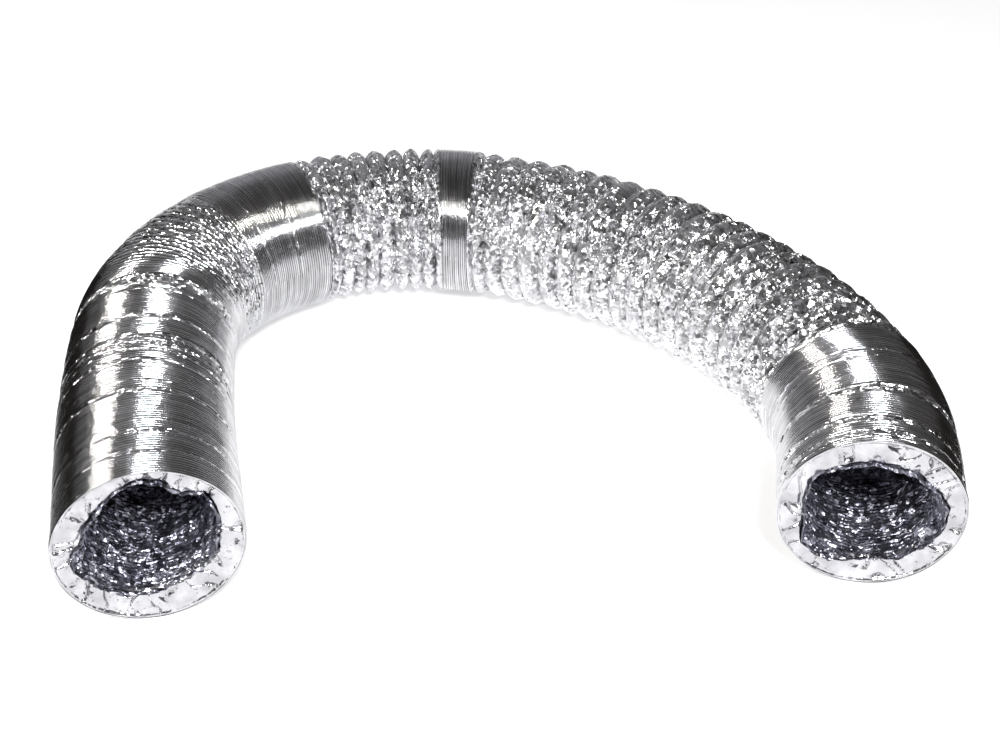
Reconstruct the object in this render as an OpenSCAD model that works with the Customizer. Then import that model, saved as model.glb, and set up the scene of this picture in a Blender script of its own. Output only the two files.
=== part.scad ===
// Flexible foil air duct, lying in an arch on a floor.
// Two plies of foil laminate enclose a spring wire. Where the duct is pushed shut its folds lie flat
// against each other; where it is pulled out each turn of wire stands proud as a crest.
// The origin is the centre of the left opening, +Y runs into that opening and +Z is up.

/* [Duct] */
// Diameter over the wire turns
duct_d = 130; // [100:1:160]
// Depth of a closed fold, from the outside of the duct to the edge of the clear airway
fold_depth = 18; // [14:0.5:24]
// Diameter of the spring wire
wire_d = 1.2; // [0.8:0.1:1.6]
// Thickness of one ply, with the crimps that stiffen it
ply_t = 1.2; // [0.8:0.1:2]
// Clearance between the wire and each ply
ply_clearance = 0.1; // [0.05:0.05:0.3]

/* [Folds] */
// Distance between turns where the duct is pushed shut
closed_pitch = 2.5; // [2:0.1:4]
// Distance between turns in the short open run
short_pitch = 16; // [12:0.1:24]
// Distance between turns in the long open run
long_pitch = 19.7; // [12:0.1:24]
// Clearance between the wire and the sides of its crest in an open run
crest_clearance = 0.2; // [0.1:0.1:1]
// How far the outer foil dips between two crests
valley_depth = 5; // [2:0.5:8]
// Closed turns in each fold pack that a joint opens
pack_turns = 6; // [4:1:12]
// Gap between a fold pack and the next stretch of duct
pack_gap = 0.3; // [0.2:0.1:0.6]

/* [Left leg] */
// Closed turns at the left opening, which is straight
left_mouth_turns = 34; // [12:1:60]
// Closed turns in the lower part of the left leg
left_leg_turns = 18; // [12:1:60]
// Closed turns in the upper part of the left leg
left_knee_turns = 26; // [12:1:60]
// How far each part of the left leg curves to the right, in degrees
left_leg_curve = 3; // [0:0.5:20]

/* [Left bend] */
// How far the fold pack at the start of the bend curves, in degrees
bend_start_curve = 2; // [0:0.5:12]
// Closed turns in the lower half of the bend, counted on its inside
bend_lower_turns = 14; // [6:1:40]
// Closed turns in the upper half of the bend, counted on its inside
bend_upper_turns = 9; // [6:1:40]
// How far each half of the bend curves, in degrees
bend_curve = 16; // [5:0.5:30]
// How far the fold packs in the middle and at the end of the bend curve, in degrees
bend_pack_curve = 5.5; // [2:0.5:12]
// Closed turns in the shoulder after the bend
shoulder_turns = 22; // [12:1:60]
// How far the shoulder curves, in degrees
shoulder_curve = 25.5; // [0:0.5:40]

/* [Crown] */
// Wire turns in the short open run
short_run_turns = 7; // [3:1:12]
// How far the short open run curves, in degrees
short_run_curve = 24.5; // [0:0.5:40]
// Closed turns in the band between the two open runs
band_turns = 10; // [4:1:30]
// How far the band curves, in degrees
band_curve = 8.5; // [0:0.5:30]
// How far each open fold between two stretches curves, in degrees
open_fold_curve = 3; // [0:0.5:6]

/* [Long open run] */
// Wire turns in each quarter of the long open run
long_run_turns = 5; // [3:1:10]
// How far each of the first three quarters curves, in degrees
long_run_curve = 11; // [0:0.5:30]
// How far the last quarter curves, in degrees
long_run_last_curve = 16; // [0:0.5:30]

/* [Right leg] */
// Closed turns in the right leg
right_leg_turns = 19; // [12:1:60]
// How far the right leg curves, in degrees
right_leg_curve = 18.5; // [0:0.5:45]
// How far the fold pack in the right leg curves, in degrees
right_pack_curve = 4; // [0:0.5:12]
// Closed turns at the right opening, which is straight
right_mouth_turns = 21; // [12:1:60]

/* [Hidden] */
// Radii, from the outside in. Each ply stays clear of the wire that it covers.
duct_r = duct_d / 2;
outer_ply_in_r = duct_r - ply_t;
wire_ring_r = outer_ply_in_r - ply_clearance - wire_d / 2;
inner_ply_r = wire_ring_r - wire_d / 2 - ply_clearance;
airway_r = duct_r - fold_depth;
valley_r = duct_r - valley_depth;
valley_in_r = valley_r - ply_t;
open_inner_ply_r = valley_in_r - ply_clearance;
crest_w = wire_d + 2 * ply_t + 2 * crest_clearance;
cut_overlap = 1;

// Facets for the preview: round a section, round a wire, and round a whole turn of a bend
section_fn = 96;
wire_fn = 16;
sweep_fn = 360;

// A stretch of duct is [name, kind, turns, pitch, curve in degrees].
// "shut" and "open" are stretches with wire; "pack" and "fold" are the deforming folds between them.
STRETCHES = [
    ["left_mouth", "shut", left_mouth_turns, closed_pitch, 0],
    ["left_pull", "pack", pack_turns, closed_pitch, 0],
    ["left_leg", "shut", left_leg_turns, closed_pitch, left_leg_curve],
    ["left_lift", "pack", pack_turns, closed_pitch, 0],
    ["left_knee", "shut", left_knee_turns, closed_pitch, left_leg_curve],
    ["bend_start", "pack", pack_turns, closed_pitch, bend_start_curve],
    ["bend_lower", "shut", bend_lower_turns, closed_pitch, bend_curve],
    ["bend_middle", "pack", pack_turns, closed_pitch, bend_pack_curve],
    ["bend_upper", "shut", bend_upper_turns, closed_pitch, bend_curve],
    ["bend_end", "pack", pack_turns, closed_pitch, bend_pack_curve],
    ["shoulder", "shut", shoulder_turns, closed_pitch, shoulder_curve],
    ["shoulder_pull", "fold", 1, short_pitch, open_fold_curve],
    ["short_run", "open", short_run_turns, short_pitch, short_run_curve],
    ["short_run_bend", "fold", 1, short_pitch, open_fold_curve],
    ["crown_band", "shut", band_turns, closed_pitch, band_curve],
    ["long_run_start", "fold", 1, long_pitch, open_fold_curve],
    ["long_run_1", "open", long_run_turns, long_pitch, long_run_curve],
    ["long_run_pull_1", "fold", 1, long_pitch, open_fold_curve],
    ["long_run_2", "open", long_run_turns, long_pitch, long_run_curve],
    ["long_run_middle", "fold", 1, long_pitch, open_fold_curve],
    ["long_run_3", "open", long_run_turns, long_pitch, long_run_curve],
    ["long_run_pull_2", "fold", 1, long_pitch, open_fold_curve],
    ["long_run_4", "open", long_run_turns, long_pitch, long_run_last_curve],
    ["right_lift", "fold", 1, long_pitch, open_fold_curve],
    ["right_leg", "shut", right_leg_turns, closed_pitch, right_leg_curve],
    ["right_pull", "pack", pack_turns, closed_pitch, right_pack_curve],
    ["right_mouth", "shut", right_mouth_turns, closed_pitch, 0]
];
LAST = len(STRETCHES) - 1;

function name_of(i) = STRETCHES[i][0];
function kind_of(i) = STRETCHES[i][1];
function turns_of(i) = STRETCHES[i][2];
function pitch_of(i) = STRETCHES[i][3];
function curve_of(i) = STRETCHES[i][4];
function has_wire(i) = kind_of(i) == "shut" || kind_of(i) == "open";
function is_open(i) = kind_of(i) == "open" || kind_of(i) == "fold";

// A shut stretch is packed tight on the inside of its curve and fans out on the outside
function shut_length(i) = turns_of(i) * closed_pitch + duct_r * curve_of(i) * PI / 180;
function length_of(i) =
    kind_of(i) == "open" ? (turns_of(i) - 1) * pitch_of(i) + crest_w
    : kind_of(i) == "fold" ? pitch_of(i) - crest_w
    : shut_length(i);
function curve_r(i) = length_of(i) * 180 / (PI * curve_of(i));

// Heading at the start of a stretch, clockwise from +Y, and the place where it starts
function heading_at(i) = i == 0 ? 0 : heading_at(i - 1) + curve_of(i - 1);
function reach(i) =
    curve_of(i) == 0 ? [0, length_of(i)]
    : curve_r(i) * [1 - cos(curve_of(i)), sin(curve_of(i))];
function turned(v, angle) = [
    v.x * cos(angle) + v.y * sin(angle),
    v.y * cos(angle) - v.x * sin(angle)
];
function start_of(i) = i == 0 ? [0, 0] : start_of(i - 1) + turned(reach(i - 1), heading_at(i - 1));

// A fold that is pulled open keeps its length of foil, so it is less deep than a closed one
function fold_depth_at(pitch) = sqrt(fold_depth * fold_depth - pitch * pitch / 4);
function inner_bore_r(i) = is_open(i) ? duct_r - fold_depth_at(pitch_of(i)) : airway_r;

WIRED = [for (i = [0:LAST]) if (has_wire(i)) i];
FOLDED = [for (i = [0:LAST]) if (!has_wire(i)) i];

outer_foil_colour = [0.80, 0.81, 0.83];
inner_foil_colour = [0.62, 0.64, 0.68];
folds_colour = [0.72, 0.73, 0.76];
wire_colour = [0.42, 0.40, 0.38];

// Places its children at the start of a stretch, facing along it
module at_start(i) {
    translate([start_of(i).x, start_of(i).y, 0])
        rotate([0, 0, -heading_at(i)])
            children();
}

// Places its children a distance s along a stretch, facing along it
module at_distance(i, s) {
    if (curve_of(i) == 0)
        translate([0, s, 0]) children();
    else
        translate([curve_r(i), 0, 0])
            rotate([0, 0, -curve_of(i) * s / length_of(i)])
                translate([-curve_r(i), 0, 0])
                    children();
}

module tube_section(outer_r, inner_r) {
    difference() {
        circle(r = outer_r, $fn = section_fn);
        circle(r = inner_r, $fn = section_fn);
    }
}

// A tube that follows a stretch from one distance along it to another
module tube(i, outer_r, inner_r, from, to) {
    if (curve_of(i) == 0)
        translate([0, from, 0])
            rotate([-90, 0, 0])
                linear_extrude(to - from)
                    tube_section(outer_r, inner_r);
    else
        translate([curve_r(i), 0, 0])
            rotate([0, 0, 180 - curve_of(i) * to / length_of(i)])
                rotate_extrude(angle = curve_of(i) * (to - from) / length_of(i), $fn = sweep_fn)
                    translate([curve_r(i), 0])
                        tube_section(outer_r, inner_r);
}

// Outer foil of an open stretch: a crest over each turn of wire and a shallow valley between
module open_outer_foil(i) {
    pitch = pitch_of(i);
    turns = turns_of(i);
    difference() {
        tube(i, duct_r, valley_in_r, 0, length_of(i));
        for (k = [0:turns - 2])
            tube(i, duct_r + cut_overlap, valley_r, k * pitch + crest_w, (k + 1) * pitch);
        for (k = [0:turns - 1])
            tube(i, outer_ply_in_r, valley_in_r - cut_overlap,
                k * pitch + ply_t, k * pitch + crest_w - ply_t);
    }
}

module outer_foil(i) {
    color(outer_foil_colour) at_start(i) {
        if (is_open(i))
            open_outer_foil(i);
        else
            tube(i, duct_r, outer_ply_in_r, 0, length_of(i));
    }
}

// One turn of wire, closed into a ring
module wire_ring() {
    rotate([-90, 0, 0])
        rotate_extrude($fn = section_fn)
            translate([wire_ring_r, 0])
                circle(d = wire_d, $fn = wire_fn);
}

// In an open stretch each turn is a ring; in a shut one the turns are wound into one sleeve
module wire(i) {
    color(wire_colour) at_start(i) {
        if (is_open(i))
            for (k = [0:turns_of(i) - 1])
                at_distance(i, k * pitch_of(i) + crest_w / 2) wire_ring();
        else
            tube(i, wire_ring_r + wire_d / 2, wire_ring_r - wire_d / 2,
                wire_d / 2, length_of(i) - wire_d / 2);
    }
}

module inner_foil(i) {
    outside_r = is_open(i) ? open_inner_ply_r : inner_ply_r;
    color(inner_foil_colour) at_start(i)
        tube(i, outside_r, inner_bore_r(i), 0, length_of(i));
}

// Both plies of the folds that a joint opens and closes
module folds(i) {
    outside_r = is_open(i) ? valley_r : duct_r;
    outside_in_r = is_open(i) ? valley_in_r : outer_ply_in_r;
    inside_r = is_open(i) ? open_inner_ply_r : inner_ply_r;
    color(folds_colour) at_start(i) {
        tube(i, outside_r, outside_in_r, 0, length_of(i) - pack_gap);
        tube(i, inside_r, inner_bore_r(i), 0, length_of(i) - pack_gap);
    }
}

for (i = WIRED) {
    outer_foil(i);
    wire(i);
    inner_foil(i);
}
for (i = FOLDED) {
    folds(i);
}
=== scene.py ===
import math

import bpy
import numpy as np
from mathutils import Matrix, Vector


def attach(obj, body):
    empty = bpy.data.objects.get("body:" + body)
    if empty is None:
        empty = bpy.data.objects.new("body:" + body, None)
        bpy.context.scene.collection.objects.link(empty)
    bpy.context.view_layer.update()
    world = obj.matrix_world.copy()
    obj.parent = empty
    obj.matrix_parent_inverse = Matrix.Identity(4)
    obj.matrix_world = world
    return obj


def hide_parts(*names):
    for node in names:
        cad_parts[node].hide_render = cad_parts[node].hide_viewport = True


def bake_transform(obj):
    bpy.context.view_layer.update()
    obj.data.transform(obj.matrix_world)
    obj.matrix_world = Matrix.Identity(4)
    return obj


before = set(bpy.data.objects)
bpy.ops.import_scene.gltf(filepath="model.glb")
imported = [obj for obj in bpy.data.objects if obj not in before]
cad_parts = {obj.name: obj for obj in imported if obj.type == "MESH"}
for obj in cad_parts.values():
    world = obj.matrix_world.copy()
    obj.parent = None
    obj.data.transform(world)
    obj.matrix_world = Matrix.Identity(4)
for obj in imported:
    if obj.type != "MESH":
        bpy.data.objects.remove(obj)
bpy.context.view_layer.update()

# ---- The lay of the duct --------------------------------------------------------------------
# One continuous flexible tube of 130 mm, laid in an arch on the floor. Where it is pushed shut its
# folds pack tight, and where it is pulled open every turn of wire stands out as a rib.

# Each stretch of the arch: its length in mm and how far it curves to the right in degrees
LAY = [(85, 0), (15, 0), (48.4, 3), (15, 0), (68.4, 3), (17.27, 2), (53.15, 16), (21.24, 5.5),
       (40.65, 16), (21.24, 5.5), (83.93, 25.5), (12, 3), (100, 24.5), (12, 3), (34.64, 8.5),
       (15.7, 3), (82.8, 11), (15.7, 3), (82.8, 11), (15.7, 3), (82.8, 11), (15.7, 3), (82.8, 16),
       (15.7, 3), (68.49, 18.5), (19.54, 4), (52.5, 0)]
LENGTH = sum(length for length, curve in LAY) / 1000
OUTSIDE_R = 0.065

_ends = np.cumsum([0.0] + [length / 1000 for length, curve in LAY])
_turned = np.radians(np.cumsum([0.0] + [curve for length, curve in LAY]))
_fine = np.arange(-0.02, LENGTH + 0.02, 0.00025)
_heading = np.interp(_fine, _ends, _turned)
_x = np.cumsum(np.sin(_heading)) * 0.00025
_y = np.cumsum(np.cos(_heading)) * 0.00025
_x -= np.interp(0, _fine, _x)
_y -= np.interp(0, _fine, _y)

# How far each ring of folds leans round, in degrees clockwise seen from above, at distances in mm.
# Closed folds stand parallel to each other, so a curve is taken up at the seams between them.
LEAN = [(0, -3), (60, 0), (90, 1), (96, 2.5), (160, 2), (167, -3), (187, -3), (194, 0), (236, -1.5),
        (250, -4), (300, 0), (372, 7), (386, 8), (425, 3.5), (462, -2), (520, 0), (585, -4),
        (597, -8), (622, -8), (640, -3), (700, 0), (1000, 1), (1037, 5), (1066, 2), (1070, 1),
        (1108, -5), (1119, -3), (1178, -2)]
_lean_s, _lean = np.array(LEAN).T / [[1000], [1]]


def skin(s, phi, r):
    """Points of the tube: the centreline at distance s, plus r cos(phi) to the right and r sin(phi) up,
    where the ring leans along the heading by -r cos(phi) times the lean."""
    heading = np.interp(s, _fine, _heading)
    out = r * np.cos(phi)
    along = -out * np.radians(np.interp(s, _lean_s, _lean))
    x = np.interp(s, _fine, _x) + out * np.cos(heading) + along * np.sin(heading)
    y = np.interp(s, _fine, _y) - out * np.sin(heading) + along * np.cos(heading)
    return np.stack(np.broadcast_arrays(x, y, r * np.sin(phi)), axis=-1)


def wind(start, end, first_pitch, last_pitch):
    """Turns of wire from start to end in mm, with the pitch growing evenly from the first to the last."""
    mean = (first_pitch + last_pitch) / 2
    count = max(1, round((end - start) / mean))
    u = (np.arange(count) + 0.5) / count
    return start + (end - start) * (u * first_pitch + u * u * (last_pitch - first_pitch) / 2) / mean


# The turns of wire: closed from the left opening to the bend, fanned out round the bend, closed in
# the shoulder, open, a closed band at the crown, open down the long run, and closed to the end
rng = np.random.default_rng(11)
OPEN_SHORT = wind(469, 592.5, 15.4, 15.4)
OPEN_LONG = np.concatenate([wind(627, 1000, 20.6, 20.6), wind(1000, 1037, 15, 10)])
OPEN_SHORT += rng.uniform(-1.2, 1.2, len(OPEN_SHORT))
OPEN_LONG += rng.uniform(-1.6, 1.6, len(OPEN_LONG))
TURNS = np.concatenate([
    wind(0, 238.5, 2.5, 2.5), wind(238.5, 250.5, 6, 6), wind(250.5, 262, 2.5, 2.5), wind(262, 300, 2.8, 6.2), wind(300, 374, 6.4, 6.8), wind(374, 469, 2.6, 2.6),
    OPEN_SHORT, wind(592.5, 627, 2.6, 2.6), OPEN_LONG,
    wind(1037, 1111, 2.5, 2.5), wind(1111, 1120, 4.5, 4.5), wind(1120, LENGTH * 1000, 2.5, 2.5)]) / 1000


def bead_rows():
    """Distances of the rows of a ply and each row's place x in its bead, from -1 to 1 with the wire at 0.
    A bead reaches halfway to the next turn of wire on either side, and a wide bead has more rows."""
    mids = np.concatenate([[0], (TURNS[1:] + TURNS[:-1]) / 2, [LENGTH]])
    before, after = TURNS - mids[:-1], mids[1:] - TURNS
    width = before + after
    count = np.where(width < 0.0045, 8, np.where(width < 0.009, 12, 24))
    bead = np.repeat(np.arange(len(TURNS)), count)
    step = np.arange(len(bead)) - np.repeat(np.cumsum(count) - count, count)
    t = 2 * step / count[bead] - 1
    x = np.where(count[bead] == 8, np.sin(t * np.pi / 2), t)
    s = TURNS[bead] + x * np.where(x < 0, before[bead], after[bead])
    return np.append(s, LENGTH), np.append(x, 1.0), np.append(width[bead], width[-1]), np.append(bead, len(TURNS) - 1)


ROW_S, ROW_X, ROW_WIDTH, ROW_BEAD = bead_rows()

# Bodies of the frame in order, with the place in mm where each one is halfway along, and the joint after it
BODIES = [("left_mouth", 42.5, "left_pull"), ("left_leg", 124, "left_lift"), ("left_knee", 198, "bend_start"),
          ("bend_lower", 276, "bend_middle"), ("bend_upper", 344, "bend_end"), ("shoulder", 427, "shoulder_pull"),
          ("short_run", 531, "short_run_bend"), ("crown_band", 610.5, "long_run_start"),
          ("long_run_1", 685, "long_run_pull_1"), ("long_run_2", 783.5, "long_run_middle"),
          ("long_run_3", 882, "long_run_pull_2"), ("long_run_4", 980.5, "right_lift"),
          ("right_leg", 1072, "right_pull"), ("right_mouth", 1152, None)]
_cuts = [int(np.argmin(np.abs(ROW_S - middle / 1000))) for name, middle, joint in BODIES]
CUTS = [0] + _cuts + [len(ROW_S) - 1]


def blend_line(first, last):
    """Start and end of the bend between two middle rings: both lie on the line between the rings' centres,
    moved inwards past every point of its ring."""
    around = np.linspace(0, 2 * np.pi, 73)
    a = skin(ROW_S[first], around, OUTSIDE_R)
    b = skin(ROW_S[last], around, OUTSIDE_R)
    start, end = a[:-1].mean(0), b[:-1].mean(0)
    way = (end - start) / np.linalg.norm(end - start)
    reach = ((a - start) @ way).max() + 0.001
    back = ((b - end) @ way).min() - 0.001
    return start + way * reach, end + way * back


LINES = [blend_line(CUTS[k + 1], CUTS[k + 2]) for k in range(len(BODIES) - 1)]


def noise(s, phi, cell, seed, sharp=False):
    """Smooth random heights from -1 to 1 over the tube, on a grid of cells about cell metres wide that closes
    round the tube. sharp keeps straight slopes between the grid points, which leaves creases."""
    n_round = max(3, int(round(2 * np.pi * OUTSIDE_R / cell)))
    n_along = int(LENGTH / cell) + 6
    grid = np.random.default_rng(seed).uniform(-1, 1, (n_along, n_round))
    u, v = np.broadcast_arrays(s / cell + 2, phi / (2 * np.pi) * n_round)
    i, j = np.floor(u).astype(int), np.floor(v).astype(int)
    a, b = u - i, v - j
    if not sharp:
        a, b = a * a * (3 - 2 * a), b * b * (3 - 2 * b)
    i = np.clip(i, 0, n_along - 2)
    j0, j1 = j % n_round, (j + 1) % n_round
    return (grid[i, j0] * (1 - a) + grid[i + 1, j0] * a) * (1 - b) + (grid[i, j1] * (1 - a) + grid[i + 1, j1] * a) * b


def crumple(s, phi, cell, seed):
    """Creased foil from 0 to 1: facets between random heights, on a grid that smooth noise has pulled about,
    with folded (absolute) noise on top that leaves sharp lines where it crosses nought."""
    s2 = s + 0.45 * cell * noise(s, phi, 2.2 * cell, seed + 1)
    phi2 = phi + 0.45 * cell / OUTSIDE_R * noise(s, phi, 2.2 * cell, seed + 2)
    facets = 0.5 + 0.5 * noise(s2, phi2, cell, seed + 3, sharp=True)
    folds = 1 - np.abs(noise(s2, phi2, 1.7 * cell, seed + 4))
    fine = 0.5 + 0.5 * noise(s2, phi2, 0.5 * cell, seed + 5, sharp=True)
    return 0.5 * facets + 0.32 * folds + 0.18 * fine


def sheet_mesh(name, points, uv, levels, valley=0.0, flip=False):
    """A mesh from a grid of points: rows along the duct, columns round it. The columns close into a ring.
    levels is one number a point, which the materials read as how crumpled the foil is there, and valley is
    how deep in the groove between two ribs it lies."""
    rows, columns = points.shape[:2]
    i = np.arange(rows - 1)[:, None]
    j = np.arange(columns)[None, :]
    k = (j + 1) % columns
    quads = np.stack([i * columns + j, i * columns + k, (i + 1) * columns + k, (i + 1) * columns + j], -1).reshape(-1, 4)
    corners = np.stack([np.broadcast_arrays(uv[0][i], j / columns * uv[1])[0] * np.ones_like(j), (j / columns * uv[1]) * np.ones_like(i * 1.0)], -1)
    next_round = np.stack([uv[0][i] * np.ones_like(j), ((j + 1) / columns * uv[1]) * np.ones_like(i * 1.0)], -1)
    above = np.stack([uv[0][i + 1] * np.ones_like(j), (j / columns * uv[1]) * np.ones_like(i * 1.0)], -1)
    above_next = np.stack([uv[0][i + 1] * np.ones_like(j), ((j + 1) / columns * uv[1]) * np.ones_like(i * 1.0)], -1)
    corner_uv = np.stack([corners, next_round, above_next, above], 2).reshape(-1, 4, 2)
    if flip:
        quads = quads[:, ::-1]
        corner_uv = corner_uv[:, ::-1]
    mesh = bpy.data.meshes.new(name)
    mesh.vertices.add(rows * columns)
    mesh.vertices.foreach_set("co", points.astype(np.float32).ravel())
    mesh.loops.add(quads.size)
    mesh.loops.foreach_set("vertex_index", quads.astype(np.int32).ravel())
    mesh.polygons.add(len(quads))
    mesh.polygons.foreach_set("loop_start", np.arange(0, quads.size, 4, dtype=np.int32))
    mesh.polygons.foreach_set("use_smooth", np.ones(len(quads), bool))
    layer = mesh.uv_layers.new(name="Foil")
    layer.data.foreach_set("uv", corner_uv.astype(np.float32).ravel())
    level = mesh.attributes.new("crumpled", "FLOAT", "POINT")
    level.data.foreach_set("value", np.broadcast_to(levels, (rows, columns)).astype(np.float32).ravel())
    groove = mesh.attributes.new("valley", "FLOAT", "POINT")
    groove.data.foreach_set("value", np.broadcast_to(valley, (rows, columns)).astype(np.float32).ravel())
    mesh.update(calc_edges=True)
    mesh.validate()
    piece = bpy.data.objects.new(name, mesh)
    bpy.context.scene.collection.objects.link(piece)
    return piece


# ---- Foil laminate --------------------------------------------------------------------------
# Aluminium foil bonded to polyester film: mirror bright, but wrinkled into small flat facets
# wherever it has been folded and pulled open again, and slightly dulled by handling.

def foil_material(name, dark, light, roughness, facet, fine_bump, streaks=(1, 1), fresh=0.0):
    """Metal whose normal is turned a little differently in each small cell, by facet times the crumpled
    attribute, with two sizes of cell, and whose grey and roughness wander with noise."""
    material = bpy.data.materials.new(name)
    material.use_nodes = True
    nodes, link = material.node_tree.nodes, material.node_tree.links.new
    shader = nodes["Principled BSDF"]
    shader.inputs["Metallic"].default_value = 1.0
    place = nodes.new("ShaderNodeTexCoord").outputs["Object"]
    level = nodes.new("ShaderNodeAttribute")
    level.attribute_name = "crumpled"

    cloud = nodes.new("ShaderNodeTexNoise")
    cloud.inputs["Scale"].default_value = 60
    cloud.inputs["Detail"].default_value = 4
    link(place, cloud.inputs["Vector"])
    grey = nodes.new("ShaderNodeValToRGB")
    grey.color_ramp.elements[0].position, grey.color_ramp.elements[1].position = 0.35, 0.65
    grey.color_ramp.elements[0].color, grey.color_ramp.elements[1].color = (*dark, 1), (*light, 1)
    link(cloud.outputs["Fac"], grey.inputs["Fac"])
    stretch = nodes.new("ShaderNodeMapping")
    stretch.inputs["Scale"].default_value = (330, 9, 1)
    link(nodes.new("ShaderNodeTexCoord").outputs["UV"], stretch.inputs["Vector"])
    streak = nodes.new("ShaderNodeTexNoise")
    streak.inputs["Scale"].default_value = 1
    streak.inputs["Detail"].default_value = 3
    link(stretch.outputs["Vector"], streak.inputs["Vector"])
    dulled = nodes.new("ShaderNodeMapRange")
    dulled.inputs["From Min"].default_value, dulled.inputs["From Max"].default_value = 0.3, 0.7
    dulled.inputs["To Min"].default_value, dulled.inputs["To Max"].default_value = streaks
    link(streak.outputs["Fac"], dulled.inputs["Value"])
    fresher = nodes.new("ShaderNodeMath")
    fresher.operation = "MULTIPLY_ADD"
    fresher.inputs[1].default_value = fresh
    link(level.outputs["Fac"], fresher.inputs[0])
    link(dulled.outputs["Result"], fresher.inputs[2])
    groove = nodes.new("ShaderNodeAttribute")
    groove.attribute_name = "valley"
    dusty = nodes.new("ShaderNodeMath")
    dusty.operation = "MULTIPLY_ADD"
    dusty.inputs[1].default_value = -0.40
    link(groove.outputs["Fac"], dusty.inputs[0])
    link(fresher.outputs["Value"], dusty.inputs[2])
    tinted = nodes.new("ShaderNodeVectorMath")
    tinted.operation = "SCALE"
    link(grey.outputs["Color"], tinted.inputs[0])
    link(dusty.outputs["Value"], tinted.inputs["Scale"])
    link(tinted.outputs["Vector"], shader.inputs["Base Color"])
    rough = nodes.new("ShaderNodeMapRange")
    rough.inputs["To Min"].default_value, rough.inputs["To Max"].default_value = roughness
    link(cloud.outputs["Fac"], rough.inputs["Value"])
    worn = nodes.new("ShaderNodeMath")
    worn.operation = "MULTIPLY_ADD"
    worn.inputs[1].default_value = 0.13
    link(level.outputs["Fac"], worn.inputs[0])
    link(rough.outputs["Result"], worn.inputs[2])
    link(worn.outputs["Value"], shader.inputs["Roughness"])

    normal = nodes.new("ShaderNodeNewGeometry").outputs["Normal"]
    for scale, share in ((260, 1.0), (720, 0.5)):
        cells = nodes.new("ShaderNodeTexVoronoi")
        cells.inputs["Scale"].default_value = scale
        link(place, cells.inputs["Vector"])
        centred = nodes.new("ShaderNodeVectorMath")
        centred.operation = "SUBTRACT"
        centred.inputs[1].default_value = (0.5, 0.5, 0.5)
        link(cells.outputs["Color"], centred.inputs[0])
        amount = nodes.new("ShaderNodeMath")
        amount.operation = "MULTIPLY"
        amount.inputs[1].default_value = facet * share
        link(level.outputs["Fac"], amount.inputs[0])
        tilt = nodes.new("ShaderNodeVectorMath")
        tilt.operation = "SCALE"
        link(centred.outputs["Vector"], tilt.inputs[0])
        link(amount.outputs["Value"], tilt.inputs["Scale"])
        turned = nodes.new("ShaderNodeVectorMath")
        turned.operation = "ADD"
        link(normal, turned.inputs[0])
        link(tilt.outputs["Vector"], turned.inputs[1])
        normal = turned.outputs["Vector"]
    unit = nodes.new("ShaderNodeVectorMath")
    unit.operation = "NORMALIZE"
    link(normal, unit.inputs[0])
    grain = nodes.new("ShaderNodeTexNoise")
    grain.inputs["Scale"].default_value = 900
    grain.inputs["Detail"].default_value = 3
    link(place, grain.inputs["Vector"])
    bump = nodes.new("ShaderNodeBump")
    bump.inputs["Strength"].default_value = fine_bump
    bump.inputs["Distance"].default_value = 0.0004
    link(grain.outputs["Fac"], bump.inputs["Height"])
    link(unit.outputs["Vector"], bump.inputs["Normal"])
    link(bump.outputs["Normal"], shader.inputs["Normal"])
    return material


# ---- Outer ply ------------------------------------------------------------------------------
# The skin of the duct: one ply of foil laminate over the wire. Shut, it lies in round beads 2.5 mm
# apart; open, it stands in puffed ribs with a sharp valley between and is creased all over.

OUTER_COLUMNS = 240
outer_foil = foil_material("outer foil", (0.58, 0.58, 0.59), (0.68, 0.68, 0.70), (0.12, 0.22), 1.6, 0.10, (0.60, 1.1), 0.42)

# Seams where the closed folds have been opened a little and pushed back: place, half width in mm, strength
SEAMS = [(24, 1.5, 0.35), (46, 2, 0.5), (57, 1.2, 0.2), (94, 2.5, 0.6), (106, 1.2, 0.2), (133, 2, 0.6),
         (145, 2, 0.5), (154, 3, 0.6), (163, 3, 0.7), (190, 3, 0.8), (229, 1.5, 0.3), (244, 5.5, 1.6),
         (394, 1.4, 0.3), (431, 1.4, 0.3), (1068, 2, 0.5), (1077, 1.5, 0.25), (1115, 4, 1.2),
         (1151, 3, 0.9), (1167, 2.5, 0.8), (1173, 1.5, 0.4)]


def loosened(s):
    """How far the folds are opened at distance s: 1 in the open runs, part way round the bend, and a bump at each seam."""
    mm = s * 1000
    run = np.interp(mm, [464, 474, 588, 596, 624, 634, 1030, 1040], [0, 1, 1, 0, 0, 1, 1, 0])
    bend = np.interp(mm, [262, 296, 310, 368, 377], [0, 0.25, 0.62, 0.62, 0])
    seams = sum(strength * np.exp(-((mm - at) / half) ** 2) for at, half, strength in SEAMS)
    return run, bend, seams


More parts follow.
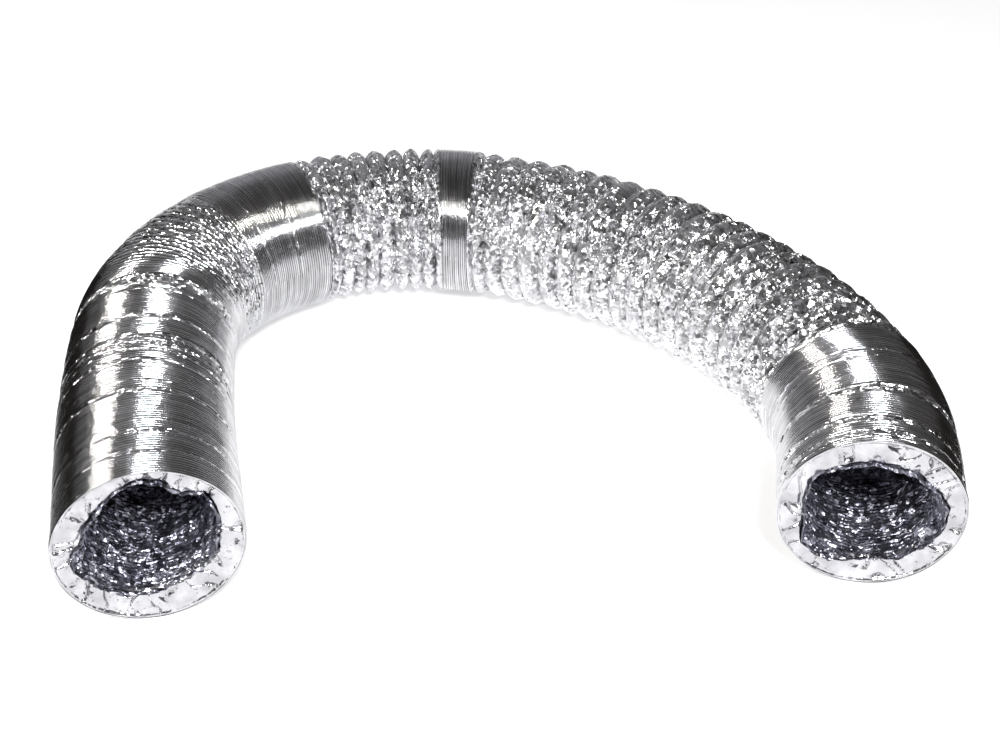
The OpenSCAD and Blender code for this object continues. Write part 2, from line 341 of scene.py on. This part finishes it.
def outer_radius(s, phi, x, width, bead):
    """65 mm over each wire, dipping to the next by a notch with a round shoulder, half a pitch deep where shut and
    6.2 mm at most. Creases and pleats 6.2 mm apart are taken off where the folds are loose, each bead varies a
    little, and the foil comes no nearer the middle than the wire under it."""
    run, bend, seams = loosened(s)
    shape = np.where(width < 0.009, 1 - np.sqrt(np.clip(1 - x * x, 0, 1)), 1 - np.clip(1 - np.abs(x) ** 1.9, 0, 1) ** 0.72)
    depth = np.minimum(0.5 * width, 0.0062)
    own = np.random.default_rng(5).uniform(-1, 1, len(TURNS) + 1)[bead]
    dent = 0.5 + 0.5 * noise(s, phi, 0.03, 21)
    sag = depth * shape * (1 + (0.35 * run + 0.3 * np.minimum(seams, 1)) * (dent - 0.5) * 2)
    loose = crumple(s, phi, 0.0050, 31)
    teeth = crumple(s, phi, 0.0048, 41)
    step = (phi * OUTSIDE_R / 0.0062 + 0.37 * bead + 1.1 * noise(s, phi, 0.016, 71)) % 1
    pleat = np.abs(2 * step - 1)
    taken = run * (0.0027 * loose * (0.4 + 0.6 * np.abs(x) ** 0.7) + 0.0016 * pleat * (0.45 + 0.55 * np.abs(x)))
    taken = taken + 0.0014 * bend * teeth
    taken = taken + np.minimum(seams, 1.6) * (0.0019 * teeth + 0.0004)
    ragged = 0.00013 * (1 - run) * (noise(s * 3.1, phi, 0.011, 51) + 0.6 * noise(s * 5.3, phi, 0.019, 52))
    swell = 0.00012 * own * (1 - run) + 0.0005 * run * own + ragged
    beside_wire = x * width / 2
    on_wire = 0.0631 + np.sqrt(np.clip(0.00075 ** 2 - beside_wire ** 2, 0, None))
    r = OUTSIDE_R - 0.00015 + np.minimum(swell, 0.0003) - sag - taken
    return np.where(np.abs(beside_wire) < 0.00075, np.maximum(r, on_wire), r)


def ply_piece(name, first, last, radius, columns, material, flip=False):
    """One ply between two rows of the duct, as rings of the given radius function."""
    phi = np.arange(columns)[None, :] * 2 * np.pi / columns
    pick = slice(first, last + 1)
    s, x, width, bead = ROW_S[pick, None], ROW_X[pick, None], ROW_WIDTH[pick, None], ROW_BEAD[pick, None]
    r = radius(s, phi, x, width, bead)
    run, bend, seams = loosened(s)
    level = np.clip(run + 0.75 * bend + 0.7 * seams, 0.02, 1)
    groove = np.clip((np.abs(x) - 0.80) / 0.20, 0, 1) * np.clip(run + 0.5 * seams, 0, 1)
    piece = sheet_mesh(name, skin(s, phi, r), (s[:, 0], 2 * np.pi * OUTSIDE_R), level, groove, flip)
    piece.data.materials.append(material)
    return piece


for k in range(len(BODIES) + 1):
    if k == 0:
        skin_piece = ply_piece("outer_foil_left_end", CUTS[0], CUTS[1], outer_radius, OUTER_COLUMNS, outer_foil)
        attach(skin_piece, BODIES[0][0])
        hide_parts("left_mouth_outer_foil")
    elif k == len(BODIES):
        skin_piece = ply_piece("outer_foil_right_end", CUTS[k], CUTS[k + 1], outer_radius, OUTER_COLUMNS, outer_foil)
        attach(skin_piece, BODIES[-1][0])
        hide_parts("right_mouth_outer_foil")
    else:
        joint = BODIES[k - 1][2]
        skin_piece = ply_piece("outer_foil_" + joint, CUTS[k], CUTS[k + 1], outer_radius, OUTER_COLUMNS, outer_foil)
        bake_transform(skin_piece)
        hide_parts(joint + "_folds", BODIES[k][0] + "_outer_foil")

# ---- Inner ply ------------------------------------------------------------------------------
# The lining: a second ply inside the wire. Its folds reach 18 mm in from the outside and their
# edges, crushed against each other, are what shows inside an opening.

AIRWAY_R = 0.047
INNER_COLUMNS = 230
inner_foil = foil_material("inner foil", (0.34, 0.34, 0.40), (0.60, 0.60, 0.67), (0.16, 0.28), 1.4, 0.25)

# The rim of each opening: angle in degrees from its right-hand side, seen along the duct, and radius in mm
LEFT_HOLE = [(0, 45), (28, 51), (43, 55), (57, 46), (66, 50), (78, 54), (90, 56), (101, 53), (115, 48), (130, 46), (152, 45),
             (166, 44), (178, 50), (194, 51), (204, 48), (225, 46), (247, 44), (270, 41), (291, 38), (319, 41), (340, 45), (360, 45)]
RIGHT_HOLE = [(0, 45), (26, 49), (42, 49), (56, 45), (73, 43), (91, 41), (114, 42), (137, 43), (156, 48), (172, 51), (193, 50),
              (207, 49), (224, 45), (240, 45), (254, 40), (280, 43), (292, 48), (307, 54), (325, 53), (343, 46), (360, 45)]


def hole_radius(phi, hole):
    """Radius of the crushed edge of an opening at angle phi, between the angles given, roughened by noise."""
    angle, radius = np.array(hole).T
    return np.interp(np.degrees(phi) % 360, angle, radius) / 1000 + 0.0009 * noise(0.0, phi, 0.006, 51 + len(hole), sharp=True)


def lining(s_from, s_to, step, columns, name):
    """Lining between two distances: rings at the airway radius with crushed fold edges 2 mm high, about 3 mm long and
    10 mm wide, and near an opening its radius runs out to the rim's."""
    s = np.linspace(s_from, s_to, max(2, int(round((s_to - s_from) / step)) + 1))[:, None]
    phi = np.arange(columns)[None, :] * 2 * np.pi / columns
    run, bend, seams = loosened(s)
    edges = noise(s * 4.6, phi, 0.0070, 61) + 0.8 * noise(s * 3.2, phi, 0.0042, 62, sharp=True)
    pleats = 0.5 + 0.5 * np.cos(2 * np.pi * (s / 0.0036 + 0.9 * noise(s, phi, 0.012, 63)))
    r = AIRWAY_R - 0.0006 + 0.0008 * edges + 0.0008 * pleats + 0.0012 * noise(s, phi, 0.02, 64) + 0.0028 * run
    for start, toward, hole in ((0.0, 1, LEFT_HOLE), (LENGTH, -1, RIGHT_HOLE)):
        deep = np.clip(toward * (s - start) / 0.022, 0, 1)
        share = 1 - deep * deep * (3 - 2 * deep)
        r = r + (hole_radius(phi, hole) - AIRWAY_R) * share
    piece = sheet_mesh(name, skin(s, phi, r), (s[:, 0], 2 * np.pi * AIRWAY_R), 1.0, flip=True)
    piece.data.materials.append(inner_foil)
    return piece


for k in range(len(BODIES) + 1):
    s_from, s_to = ROW_S[CUTS[k]], ROW_S[CUTS[k + 1]]
    seen = s_to < 0.28 or s_from > 0.97
    step, columns = (0.00055, INNER_COLUMNS) if seen else (0.0018, 110)
    if k == 4 or k == 12:
        step, columns = (0.0012, INNER_COLUMNS)
    if k == 0:
        lining_piece = lining(s_from, s_to, step, columns, "inner_foil_left_end")
        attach(lining_piece, BODIES[0][0])
        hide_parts("left_mouth_inner_foil")
    elif k == len(BODIES):
        lining_piece = lining(s_from, s_to, step, columns, "inner_foil_right_end")
        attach(lining_piece, BODIES[-1][0])
        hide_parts("right_mouth_inner_foil")
    else:
        lining_piece = lining(s_from, s_to, step, columns, "inner_foil_" + BODIES[k - 1][2])
        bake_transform(lining_piece)
        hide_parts(BODIES[k][0] + "_inner_foil")

# ---- Rims -----------------------------------------------------------------------------------
# The last fold at each opening, which closes the gap between the two plies. It is pressed nearly
# flat, with creases across it and a crushed inner edge.

rim_foil = foil_material("rim foil", (0.44, 0.44, 0.46), (0.66, 0.66, 0.68), (0.08, 0.18), 0.45, 0.12)


def rim(name, start, toward, hole, seed):
    """Flat ring from the outside to the crushed edge: radius falls evenly from 64.9 mm to the edge, and the face stands in
    and out by creases that run across it, deeper towards the edge, which rolls inwards."""
    share = np.linspace(0, 1, 64)[:, None]
    phi = np.arange(520)[None, :] * 2 * np.pi / 520
    edge = hole_radius(phi, hole)
    turn = np.clip(share / 0.06, 0, 1) * np.pi / 2
    r = OUTSIDE_R - 0.0001 - 0.0012 * (1 - np.cos(turn)) - share * (OUTSIDE_R - 0.0013 - edge)
    band = 0.35 + 0.65 * (0.5 + 0.5 * noise(0.0, phi, 0.03, seed))
    inward = 0.35 + 0.65 * share
    across = (crumple(r * 0.6, phi, 0.0085, seed + 1) + 0.5 * crumple(r, phi, 0.0045, seed + 9)) * inward
    creases = np.abs(noise(r * 0.30 + 0.2, phi + 0.25 * noise(r, phi, 0.02, seed + 3), 0.010, seed + 2))
    lift = across * 0.0042 * band + 0.0030 * np.clip(0.13 - creases, 0, 1) / 0.13 * band
    rolled = 0.0036 * np.clip((share - 0.84) / 0.16, 0, 1) ** 2
    settle = np.clip((share - 0.04) / 0.08, 0, 1)
    s = start + toward * (0.0012 * (1 - np.sin(turn)) + lift * settle + rolled)
    piece = sheet_mesh(name, skin(s, phi, r), (share[:, 0] * 0.018, 2 * np.pi * OUTSIDE_R), 0.9, flip=toward < 0)
    piece.data.materials.append(rim_foil)
    return piece


left_rim = rim("rim_left", 0.0, 1, LEFT_HOLE, 71)
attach(left_rim, "left_mouth")
right_rim = rim("rim_right", LENGTH, -1, RIGHT_HOLE, 91)
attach(right_rim, "right_mouth")

# ---- Wire -----------------------------------------------------------------------------------
# Spring-steel wire 1.2 mm thick, wound through the whole duct between the two plies, one turn
# under each rib or bead. It is glued in place by the laminate and shows nowhere.

WIRE_R, WIRE_RING_R = 0.0006, 0.0631
wire_steel = bpy.data.materials.new("drawn spring wire")
wire_steel.use_nodes = True
_nodes, _link = wire_steel.node_tree.nodes, wire_steel.node_tree.links.new
_shader = _nodes["Principled BSDF"]
_shader.inputs["Metallic"].default_value = 1.0
_drawn = _nodes.new("ShaderNodeTexNoise")
_drawn.inputs["Scale"].default_value = 400
_tone = _nodes.new("ShaderNodeValToRGB")
_tone.color_ramp.elements[0].color, _tone.color_ramp.elements[1].color = (0.30, 0.29, 0.28, 1), (0.50, 0.48, 0.46, 1)
_dull = _nodes.new("ShaderNodeMapRange")
_dull.inputs["To Min"].default_value, _dull.inputs["To Max"].default_value = 0.28, 0.5
_link(_nodes.new("ShaderNodeTexCoord").outputs["Object"], _drawn.inputs["Vector"])
_link(_drawn.outputs["Fac"], _tone.inputs["Fac"])
_link(_tone.outputs["Color"], _shader.inputs["Base Color"])
_link(_drawn.outputs["Fac"], _dull.inputs["Value"])
_link(_dull.outputs["Result"], _shader.inputs["Roughness"])


def wire_turns(name, s_from, s_to):
    """Every turn of wire between two distances: a ring of 63.1 mm radius with a round section of six sides."""
    turns = TURNS[(TURNS >= s_from) & (TURNS < s_to)]
    sides, columns = 6, 60
    angle = np.arange(sides) * 2 * np.pi / sides
    phi = np.arange(columns) * 2 * np.pi / columns
    s = turns[:, None, None] + WIRE_R * np.sin(angle)[None, :, None]
    r = WIRE_RING_R + WIRE_R * np.cos(angle)[None, :, None]
    points = skin(s, phi[None, None, :], r)
    t, i, j = np.meshgrid(np.arange(len(turns)), np.arange(sides), np.arange(columns), indexing="ij")
    at = lambda a, b: (t * sides + a % sides) * columns + b % columns
    quads = np.stack([at(i, j), at(i + 1, j), at(i + 1, j + 1), at(i, j + 1)], -1).reshape(-1, 4)
    mesh = bpy.data.meshes.new(name)
    mesh.from_pydata(points.reshape(-1, 3).tolist(), [], quads[:, ::-1].tolist())
    mesh.polygons.foreach_set("use_smooth", np.ones(len(quads), bool))
    mesh.validate()
    piece = bpy.data.objects.new(name, mesh)
    bpy.context.scene.collection.objects.link(piece)
    mesh.materials.append(wire_steel)
    return piece


for k in range(len(BODIES) + 1):
    s_from, s_to = ROW_S[CUTS[k]], ROW_S[CUTS[k + 1]] + (1 if k == len(BODIES) else 0)
    if k == 0:
        turns_piece = wire_turns("wire_left_end", s_from, s_to)
        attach(turns_piece, BODIES[0][0])
        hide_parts("left_mouth_wire")
    elif k == len(BODIES):
        turns_piece = wire_turns("wire_right_end", s_from, s_to)
        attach(turns_piece, BODIES[-1][0])
        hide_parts("right_mouth_wire")
    else:
        turns_piece = wire_turns("wire_" + BODIES[k - 1][2], s_from, s_to)
        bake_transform(turns_piece)
        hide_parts(BODIES[k][0] + "_wire")

# ---- Studio ---------------------------------------------------------------------------------
# A white floor in a dim studio, with a tall soft box to the front left and a broad one above
# the camera. The folds draw both out into bands along the duct.

floor_mesh = bpy.data.meshes.new("floor")
floor_turn = np.arange(128) * 2 * np.pi / 128
floor_points = np.stack([60 * np.cos(floor_turn), 60 * np.sin(floor_turn), np.full(128, -0.0652)], -1)
floor_mesh.from_pydata(floor_points.tolist(), [], [tuple(range(128))])
floor = bpy.data.objects.new("floor", floor_mesh)
bpy.context.scene.collection.objects.link(floor)
white = bpy.data.materials.new("white floor")
white.use_nodes = True
white.node_tree.nodes["Principled BSDF"].inputs["Base Color"].default_value = (0.86, 0.86, 0.87, 1)
white.node_tree.nodes["Principled BSDF"].inputs["Roughness"].default_value = 0.9
white.node_tree.nodes["Principled BSDF"].inputs["Specular IOR Level"].default_value = 0.1
white.node_tree.nodes["Principled BSDF"].inputs["Emission Color"].default_value = (1, 1, 1, 1)
white.node_tree.nodes["Principled BSDF"].inputs["Emission Strength"].default_value = 0.42
floor_mesh.materials.append(white)


def soft_box(name, place, aim, width, height, power, colour):
    """A rectangular lamp at place that faces aim."""
    lamp = bpy.data.lights.new(name, "AREA")
    lamp.shape = "RECTANGLE"
    lamp.size, lamp.size_y = width, height
    lamp.energy = power
    lamp.color = colour
    holder = bpy.data.objects.new(name, lamp)
    holder.location = place
    holder.rotation_euler = (Vector(aim) - Vector(place)).to_track_quat("-Z", "Y").to_euler()
    bpy.context.scene.collection.objects.link(holder)


soft_box("tall soft box", (-2.64, -1.80, 3.58), (0.2, 0.1, 0), 0.34, 1.75, 140, (1.0, 0.98, 0.93))
soft_box("broad soft box", (0.28, -1.50, 1.75), (0.25, 0.1, 0), 0.58, 0.42, 55, (0.97, 0.98, 1.0))

world = bpy.data.worlds.new("studio")
bpy.context.scene.world = world
world.use_nodes = True
_w, _wl = world.node_tree.nodes, world.node_tree.links.new
_up = _w.new("ShaderNodeSeparateXYZ")
_sky = _w.new("ShaderNodeValToRGB")
_sky.color_ramp.elements[0].position, _sky.color_ramp.elements[1].position = 0.0, 0.6
_sky.color_ramp.elements[0].color, _sky.color_ramp.elements[1].color = (0.35, 0.35, 0.37, 1), (0.055, 0.051, 0.047, 1)
_behind = _w.new("ShaderNodeMath")
_behind.operation = "MULTIPLY_ADD"
_behind.inputs[1].default_value = -0.42
_wl(_w.new("ShaderNodeTexCoord").outputs["Generated"], _up.inputs["Vector"])
_wl(_up.outputs["Y"], _behind.inputs[0])
_wl(_up.outputs["Z"], _behind.inputs[2])
_wl(_behind.outputs["Value"], _sky.inputs["Fac"])
_wl(_sky.outputs["Color"], _w["Background"].inputs["Color"])


def black_card(name, corners, top):
    """A low card of black felt standing on the floor along the corners, seen only in reflections."""
    points = [(x, y, z) for x, y in corners for z in (-0.064, top)]
    faces = [(2 * k, 2 * k + 2, 2 * k + 3, 2 * k + 1) for k in range(len(corners) - 1)]
    mesh = bpy.data.meshes.new(name)
    mesh.from_pydata(points, [], faces)
    mesh.materials.append(felt)
    card = bpy.data.objects.new(name, mesh)
    bpy.context.scene.collection.objects.link(card)
    card.visible_camera = card.visible_diffuse = card.visible_shadow = False


felt = bpy.data.materials.new("black felt")
felt.use_nodes = True
felt.node_tree.nodes["Principled BSDF"].inputs["Base Color"].default_value = (0.02, 0.018, 0.016, 1)
felt.node_tree.nodes["Principled BSDF"].inputs["Roughness"].default_value = 1.0
felt.node_tree.nodes["Principled BSDF"].inputs["Specular IOR Level"].default_value = 0.0
black_card("left card", [(-0.21, -1.0), (-0.21, 0.25), (-0.08, 0.50)], 0.12)
black_card("right card", [(0.72, -0.6), (0.72, 0.2), (0.60, 0.42)], 0.12)

# ---- Camera ---------------------------------------------------------------------------------
# Stands a little to the right of the left leg, about 0.7 m above the floor, and looks down the arch.

lens = bpy.data.cameras.new("camera")
lens.sensor_width = 36
lens.lens = 51.4
camera = bpy.data.objects.new("camera", lens)
camera.location = (0.0734, -0.7443, 0.6502)
turn = Matrix.Rotation(math.radians(-12.61), 3, "Z") @ Matrix.Rotation(math.radians(54.48), 3, "X") @ Matrix.Rotation(math.radians(0.22), 3, "Z")
camera.rotation_euler = turn.to_euler()
bpy.context.scene.collection.objects.link(camera)
bpy.context.scene.camera = camera
bpy.context.scene.view_settings.view_transform = "Standard"
